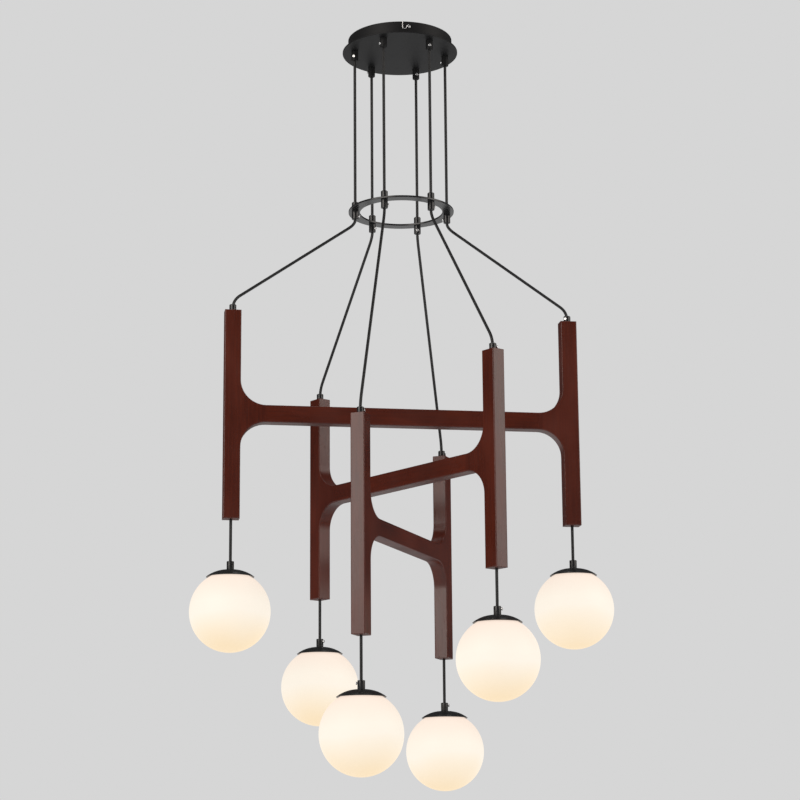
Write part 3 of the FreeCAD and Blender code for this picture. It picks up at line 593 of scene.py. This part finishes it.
class ORB_OT_stage(OrbStep):
    """Camera, plain soft lamps, a pale floor and a plain grey surround"""
    bl_idname = "orb.stage"
    bl_label = "Stage"

    # Where the photograph was taken from, in metres and degrees, and the lens in millimetres.
    camera_place = (-0.6632, -4.0280, -1.6580)
    heading = 80.72
    pitch = 12.85
    roll = 0.43
    lens = 99.0

    # The floor disc: its level, its radius, the radii between which it fades out, and its tones.
    floor_level = -2.45
    floor_radius = 3.0
    floor_fade = (1.1, 2.8)
    floor_tones = ((0.80, 0.81, 0.83), (0.82, 0.83, 0.85))

    # Name, place, diameter, power in watts and tint of each lamp, and the point they all face.
    warm, plain = (1.0, 0.94, 0.88), (1.0, 1.0, 1.0)
    lamps = (("left_softbox", (-2.24, -1.79, 0.15), 2.6, 58.0, warm),
             ("right_softbox", (2.62, -1.30, 0.15), 2.6, 44.0, warm),
             ("top_lamp", (0.3, 0.8, 3.0), 2.2, 24.0, plain))
    lamp_target = (0, 0, -0.75)

    # Greys of the surround: as light on the object, and above the horizon as seen in gloss. The
    # horizon is a soft step between two heights of a ray of length one.
    lighting_grey = (0.41, 0.41, 0.41)
    room_grey = (0.06, 0.06, 0.062)
    horizon = (-0.12, 0.10)

    def execute(self, context):
        self.add_camera(context)
        self.add_world(context)
        self.add_floor()
        for lamp in self.lamps:
            self.add_lamp(*lamp)
        context.scene.view_settings.view_transform = "Standard"
        return {"FINISHED"}

    def add_camera(self, context):
        heading, pitch = math.radians(self.heading), math.radians(self.pitch)
        ahead = Vector((math.cos(heading) * math.cos(pitch),
                        math.sin(heading) * math.cos(pitch), math.sin(pitch)))
        level = ahead.cross(Vector((0, 0, 1))).normalized()
        turn = Matrix((level, level.cross(ahead), -ahead)).transposed().to_4x4()
        camera = linked(bpy.data.cameras.new("photo_camera"), "photo_camera")
        camera.data.lens = self.lens
        camera.matrix_world = (Matrix.Translation(self.camera_place) @ turn
                               @ Matrix.Rotation(math.radians(-self.roll), 4, "Z"))
        context.scene.camera = camera

    def add_world(self, context):
        """The surround shows the backdrop colour to the camera and to glass, and lights the object
        with a plain grey. Gloss sees the backdrop below and the dimmer room above."""
        world = bpy.data.worlds.new("Plain surround")
        world.use_nodes = True
        context.scene.world = world
        s = Shader(world.node_tree)
        rays = s.add("ShaderNodeLightPath").outputs
        backdrop = tuple(colours().backdrop)
        way = s.add("ShaderNodeTexCoord").outputs["Generated"]
        rise = s.add("ShaderNodeSeparateXYZ", {0: way}).outputs[2]
        gloss = s.mix(s.stretch(rise, *self.horizon), backdrop, self.room_grey)
        lit = s.mix(rays["Is Glossy Ray"], self.lighting_grey, gloss)
        seen = s.maths("MAXIMUM", rays["Is Camera Ray"], rays["Is Transmission Ray"])
        tone = s.mix(seen, lit, backdrop)
        ground = world.node_tree.nodes["Background"]
        s.put(ground.inputs["Color"], tone)
        ground.inputs["Strength"].default_value = 1.0

    def add_floor(self):
        """A pale disc that fades out with its radius, so that it has no edge, and that can't be
        seen from below."""
        material, s, shader = new_material("Pale floor", Roughness=0.9, Specular_IOR_Level=0.1)
        place = object_place(s)
        flat = s.add("ShaderNodeVectorMath", {0: place, 1: (1, 1, 0)}, operation="MULTIPLY")
        reach = s.add("ShaderNodeVectorMath", {0: flat.outputs[0]}, operation="LENGTH").outputs[1]
        fine = s.noise(place, 60.0, 4.0)
        s.put(shader["Base Color"], s.mix(fine, *self.floor_tones))
        fade = s.maths("MAXIMUM", s.stretch(reach, *self.floor_fade),
                       s.add("ShaderNodeNewGeometry").outputs["Backfacing"])
        clear = s.add("ShaderNodeBsdfTransparent").outputs[0]
        both = s.add("ShaderNodeMixShader", {0: fade, 2: clear})
        s.put(both.inputs[1], material.node_tree.nodes["Principled BSDF"].outputs[0])
        s.put(material.node_tree.nodes["Material Output"].inputs[0], both.outputs[0])
        profile = np.array([[0.0, self.floor_level], [self.floor_radius, self.floor_level]])
        floor = turned_piece("pale_floor", profile, ROUND_LARGE, (0.0, 0.0, 0.0), material)
        if floor.data.polygons[0].normal.z < 0:
            floor.data.flip_normals()

    def add_lamp(self, name, place, diameter, power, tint):
        lamp = bpy.data.lights.new(name, "AREA")
        lamp.shape = "DISK"
        lamp.size = diameter
        lamp.energy = power
        lamp.color = tint
        linked(lamp, name).matrix_world = aimed(place, self.lamp_target)


CORD_STEP = 0.003
CORD_COLUMNS = 20
CORD_SHARP_ANGLE = 60.0
BRAID_REPEAT = 0.0032


def cable_piece(name, route, body, replaced):
    """A braided cord along the NURBS spline whose control points are the route."""
    size = sizes()
    curve = bpy.data.curves.new(f"{name}_route", "CURVE")
    curve.dimensions = "3D"
    curve.resolution_u = 24
    spline = curve.splines.new("NURBS")
    spline.points.add(len(route) - 1)
    for point, place in zip(spline.points, route):
        point.co = (*place, 1.0)
    spline.order_u = 3
    spline.use_endpoint_u = True
    guide = bpy.data.objects.new(f"{name}_route", curve)
    traced = bpy.data.meshes.new_from_object(guide)
    line = np.empty(len(traced.vertices) * 3)
    traced.vertices.foreach_get("co", line)
    line = line.reshape(-1, 3)
    bpy.data.objects.remove(guide)
    bpy.data.meshes.remove(traced)
    steps = np.linalg.norm(np.diff(line, axis=0), axis=1)
    run = np.concatenate([[0.0], np.cumsum(steps)])
    stations, radii = round_ends(run[-1], size.cable_radius, CORD_STEP)
    line = np.stack([np.interp(stations, run, line[:, axis]) for axis in range(3)], axis=-1)
    points = tube_points(line, radii, CORD_COLUMNS)
    braid = material_named("Cable braid", build_braid)
    piece = surface(name, points, braid, uv=(stations / BRAID_REPEAT, 1.0),
                    sharp=CORD_SHARP_ANGLE)
    ride_as(piece, body, "cable_braid", replaced)
    return piece


def round_the_axis(radius, azimuth, height):
    angle = math.radians(azimuth)
    return (radius * math.cos(angle), radius * math.sin(angle), height)


# Sizes and levels in metres, as the CAD model has them. A cable runs straight for the mouth run
# outside a mouth, and the control points beside its bends and ends are a straight end away.
CABLE_TOP = -0.012
RING_MOUTH = -0.372
SWAY_AXIS = -0.3723
MOUTH_RUN = 0.009
STRAIGHT_END = 0.033
PIVOT_DROP = 0.00305
CORD_OVER_PIVOT = 0.00275
CORD_OVER_HOLDER = 0.001
FRAME_LEVELS = {
    # name: (radius of the posts, top of the post glands, foot of the cables in the posts)
    "upper": (0.325, -0.5508, -0.96025),
    "middle": (0.260, -0.6681, -1.07755),
    "lower": (0.217, -0.7854, -1.19485),
}
# From the pivot under each post to the top of the lamp's cord grip, for lamps 1 to 6. The guides
# place the two middle control points of the cord: a share of the drop, and a height.
DROPS = (0.066, 0.085, 0.077, 0.079, 0.080, 0.068)
UPPER_GUIDE = 0.4
LOWER_GUIDE = 0.02
# Heights over the centre of a lamp's globe.
GRIP_TOP = 0.0935
HOLDER_TOP = 0.0845
CAP_TOP = 0.0775
CAP_RIM = 0.064


class ORB_OT_cables(OrbStep):
    """Braided cables from the canopy to the posts, and the short cords of the lamps"""
    bl_idname = "orb.cables"
    bl_label = "Cables"

    def execute(self, context):
        circle = sizes().cable_circle
        for post in POSTS:
            azimuth = 60 * (post - 1)
            route = [round_the_axis(circle, azimuth, height)
                     for height in (CABLE_TOP, CABLE_TOP - STRAIGHT_END,
                                    RING_MOUTH + STRAIGHT_END, RING_MOUTH)]
            cable_piece(f"canopy_cable_{post}", route, "root", "canopy_cables")
        for name, azimuth, posts in FRAMES:
            for half, post in zip((0, 180), posts):
                self.lower_cable(name, azimuth + half, post)
        for name, azimuth, posts in FRAMES:
            for half, post in zip((0, 180), posts):
                self.drop_cord(name, azimuth + half, post)
        return {"FINISHED"}

    def lower_cable(self, name, azimuth, post):
        circle = sizes().cable_circle
        radius, gland_top, foot = FRAME_LEVELS[name]
        first = Vector(round_the_axis(circle, azimuth, SWAY_AXIS))
        bend = Vector(round_the_axis(circle, azimuth, SWAY_AXIS - MOUTH_RUN))
        landing = Vector(round_the_axis(radius, azimuth, gland_top + MOUTH_RUN))
        last = Vector(round_the_axis(radius, azimuth, foot))
        way = (landing - bend).normalized() * STRAIGHT_END
        down = Vector((0, 0, -STRAIGHT_END))
        route = [first, bend, bend + way, landing - way, landing, landing + down, last - down, last]
        cable_piece(f"{name}_cable_{post}", route, f"{name}_frame", f"{name}_cables")

    def drop_cord(self, name, azimuth, post):
        radius, _, foot = FRAME_LEVELS[name]
        pivot = foot - PIVOT_DROP
        drop = DROPS[post - 1]
        top = pivot + CORD_OVER_PIVOT
        bottom = pivot - drop - GRIP_TOP + HOLDER_TOP + CORD_OVER_HOLDER
        route = [round_the_axis(radius, azimuth, height)
                 for height in (top, top - UPPER_GUIDE * drop, bottom + LOWER_GUIDE, bottom)]
        cable_piece(f"lamp_cord_{post}", route, f"pendant_{post}", f"drop_cord_{post}")


METALWORK = {
    "Black powder coat": ("canopy_drum", "canopy_disc", "canopy_glands"),
    "Black gloss coat": ("spreader_ring", "ring_clamp_sleeves"),
    "Bright steel": ("canopy_side_screws", "canopy_wire_hook", "sleeve_set_screws"),
    "Zinc plate": ("ceiling_bracket", "gland_nuts"),
    "Terminal plastic": ("terminal_block",),
}


class ORB_OT_metalwork(OrbStep):
    """Finishes on the canopy, the ring, the sleeves and the screws"""
    bl_idname = "orb.metalwork"
    bl_label = "Metalwork"

    def execute(self, context):
        for finish, nodes in METALWORK.items():
            for node in nodes:
                dress(node, finish_named(finish))
        for name, *_ in FRAMES:
            dress(f"{name}_post_glands", finish_named("Black gloss coat"))
            dress(f"{name}_gland_screws", finish_named("Bright steel"))
        return {"FINISHED"}


class ORB_OT_frames(OrbStep):
    """Stained wood on the three H frames"""
    bl_idname = "orb.frames"
    bl_label = "Wooden frames"

    def execute(self, context):
        size = sizes()
        for name, azimuth, _ in FRAMES:
            radius = FRAME_LEVELS[name][0]
            inner = radius - size.post_width / 2 - size.fillet
            dress(f"{name}_frame", wood_material(f"Stained wood {name}", azimuth, inner))
        return {"FINISHED"}


def lamp_centre(name, azimuth, post):
    radius, _, foot = FRAME_LEVELS[name]
    return round_the_axis(radius, azimuth, foot - PIVOT_DROP - DROPS[post - 1] - GRIP_TOP)


# The way each grip's set screw faces, in degrees about Z, for lamps 1 to 6.
GRIP_FACING = (80, -9, -35, 80, 171, -20)


class ORB_OT_lamps(OrbStep):
    """Domed caps, cord grips with their set screws, opal globes, holders and bulbs"""
    bl_idname = "orb.lamps"
    bl_label = "Lamps"

    def execute(self, context):
        for name, azimuth, posts in FRAMES:
            for half, post in zip((0, 180), posts):
                centre = lamp_centre(name, azimuth + half, post)
                self.cap(post, centre)
                self.grip(post, centre)
                self.globe(post, centre)
                dress(f"lamp_holder_{post}", finish_named("Holder ceramic"))
                self.bulb(post)
        return {"FINISHED"}

    def cap(self, post, centre):
        """A shallow dome of even sheet: two arcs a wall apart, with a rounded rim."""
        rim = sizes().cap_radius
        wall, land, hole_radius, curve = 0.0015, 0.0075, 0.0051, 0.062
        lip_width, lip_rise, lip_round = 0.002, 0.0006, 0.0012
        rim_out, rim_in = (rim, CAP_RIM + lip_rise), (rim - lip_width, CAP_RIM)
        outer = arc(rim_out, (land, CAP_TOP), curve, True, CAP_STEPS)
        inner = arc((land, CAP_TOP - wall), rim_in, curve - wall, False, CAP_STEPS)
        hole = np.array([[hole_radius, CAP_TOP], [hole_radius, CAP_TOP - wall]])
        lip = arc(rim_in, rim_out, lip_round, True, LIP_STEPS)
        profile = closed(np.concatenate([outer, hole, inner, lip[1:-1]]))
        piece = turned_piece(f"cap_{post}", profile, ROUND_LARGE, centre,
                             finish_named("Black cap coat"))
        ride_as(piece, f"pendant_{post}", "black_metal", f"lamp_cap_{post}")

    def grip(self, post, centre):
        """A sleeve with softened ends, and its set screw."""
        radius = sizes().grip_radius
        bore, screw_rise = 0.0029, 0.011
        foot_round, top_round, mouth_round = 0.0004, 0.0009, 0.0003
        profile = closed(softened([
            (bore, CAP_TOP, 0), (radius, CAP_TOP, foot_round), (radius, GRIP_TOP, top_round),
            (bore, GRIP_TOP, mouth_round)]))
        sleeve = turned_piece(f"grip_{post}", profile, ROUND_SMALL, centre,
                              finish_named("Black cap coat"))
        ride_as(sleeve, f"pendant_{post}", "black_metal", f"cord_grip_{post}")
        screw = set_screw(f"grip_screw_{post}", radius,
                          np.array(centre) + (0, 0, CAP_TOP + screw_rise), GRIP_FACING[post - 1])
        ride_as(screw, f"pendant_{post}", "bright_steel", f"cord_grip_{post}")

    def globe(self, post, centre):
        """A hollow ball of glass: outer arc, turned-in neck and inner arc as one profile."""
        size = sizes()
        outside = size.globe_radius
        inside = outside - size.globe_wall
        cut, foot, neck, neck_out = 0.070, 0.060, 0.020, 0.023
        mouth = math.sqrt(outside ** 2 - cut ** 2)
        throat = math.sqrt(inside ** 2 - neck_out ** 2)
        outer = np.concatenate([
            arc((0, -outside), (outside, 0), outside, True, GLOBE_STEPS)[:-1],
            arc((outside, 0), (mouth, cut), outside, True, GLOBE_STEPS)])
        inner = np.concatenate([
            arc((neck_out, throat), (inside, 0), inside, False, GLOBE_STEPS)[:-1],
            arc((inside, 0), (0, -inside), inside, False, GLOBE_STEPS)])
        lip = np.array([[neck, cut], [neck, foot], [neck_out, foot]])
        profile = np.concatenate([outer, lip, inner])
        height = profile[:, 1] / outside
        opal = material_named("Opal glass", build_opal)
        piece = turned_piece(f"opal_globe_{post}", profile, ROUND_LARGE, centre, opal,
                             uv=(height, 1.0))
        ride_as(piece, f"globe_{post}", "opal_glass", f"globe_{post}")

    def bulb(self, post):
        """The bulb's material changes at the top of its glass and at the foot of its pins."""
        node = f"bulb_{post}"
        base_top = max(corner[2] for corner in NODES[node].bound_box) - BULB_PINS
        glass_top = base_top - BULB_BASE
        dress(node, bulb_material(f"Bulb {post}", glass_top, base_top))


def set_screw(name, seat_radius, centre, azimuth):
    """A cheese-head screw on a sleeve: a shank and a head with a softened edge and a round socket,
    turned about Z to face the azimuth."""
    head, height, gap = 0.0028, 0.0022, 0.0006
    shank, reach = 0.0016, 0.003
    socket, socket_depth, flare = 0.0012, 0.0012, 0.0001
    under_round, top_round = 0.0003, 0.0006
    floor = height - socket_depth
    start = seat_radius + gap
    profile = closed(softened([
        (0.0, -reach, 0), (shank, -reach, 0), (shank, 0.0, 0), (head, 0.0, under_round),
        (head, height, top_round), (socket + flare, height, flare),
        (socket, floor, 0), (0.0, floor, 0)], steps=SCREW_STEPS))
    points = turned_points(profile, ROUND_SCREW)
    angle = math.radians(azimuth)
    out = np.array([math.cos(angle), math.sin(angle), 0.0])
    side = np.array([-math.sin(angle), math.cos(angle), 0.0])
    up = np.array([0.0, 0.0, 1.0])
    points = (np.asarray(centre) + points[..., 0, None] * side + points[..., 1, None] * up
              + (points[..., 2, None] + start) * out)
    return surface(name, points, finish_named("Bright steel"))


class ORB_PT_steps(bpy.types.Panel):
    """Lists the steps, the sizes and the colours of the chandelier"""
    bl_idname = "ORB_PT_steps"
    bl_label = "Orb Chandelier"
    bl_space_type = "VIEW_3D"
    bl_region_type = "UI"
    bl_category = "Orb Chandelier"

    def draw(self, context):
        for step in STEPS:
            self.layout.operator(step.bl_idname)
        for group in (context.scene.orb_sizes, context.scene.orb_colours):
            column = self.layout.column()
            for key in group.__annotations__:
                column.prop(group, key)


STEPS = (ORB_OT_stage, ORB_OT_cables, ORB_OT_metalwork, ORB_OT_frames, ORB_OT_lamps)
CLASSES = (OrbSizes, OrbColours, *STEPS, ORB_PT_steps)


def register():
    for made in CLASSES:
        bpy.utils.register_class(made)
    bpy.types.Scene.orb_sizes = PointerProperty(type=OrbSizes)
    bpy.types.Scene.orb_colours = PointerProperty(type=OrbColours)


def unregister():
    del bpy.types.Scene.orb_colours
    del bpy.types.Scene.orb_sizes
    for made in reversed(CLASSES):
        bpy.utils.unregister_class(made)


def main():
    register()
    for step in STEPS:
        area, call = step.bl_idname.split(".")
        getattr(getattr(bpy.ops, area), call)()


if __name__ == "__main__":
    main()
